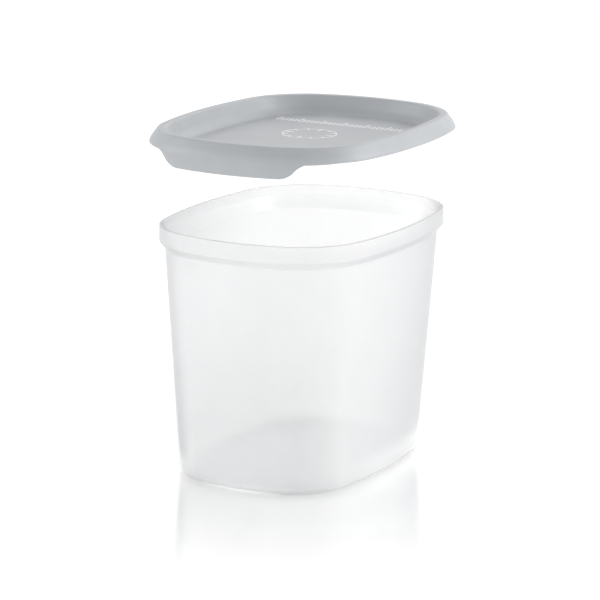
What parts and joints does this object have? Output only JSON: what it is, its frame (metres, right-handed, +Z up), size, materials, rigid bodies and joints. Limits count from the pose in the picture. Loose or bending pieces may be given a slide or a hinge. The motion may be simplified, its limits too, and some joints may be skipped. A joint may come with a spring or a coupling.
{
  "type": "food storage container",
  "caption": "Tall oblong storage box with bowed, drafted walls and a rim band, and a lift-off lid with a sunken panel and a finger tab, shown taken off.",
  "frame": {"origin": "middle of the base, on the surface that the box stands on", "axes": "+Z up, X across the box, Y along it, with the lid's finger tab over the end at -Y"},
  "size_m": [0.1218, 0.1617, 0.1659],
  "materials": {
    "container": "natural frosted, see-through",
    "lid": "satin light grey"
  },
  "bodies": {
    "box": {"container": "container"},
    "cover": {"lid": "lid"}
  },
  "joints": [
    {"name": "lid_lift", "type": "slide", "parent": "box", "child": "cover", "axis": [0, 0, 1], "range_m": [-0.0444, 0]}
  ]
}
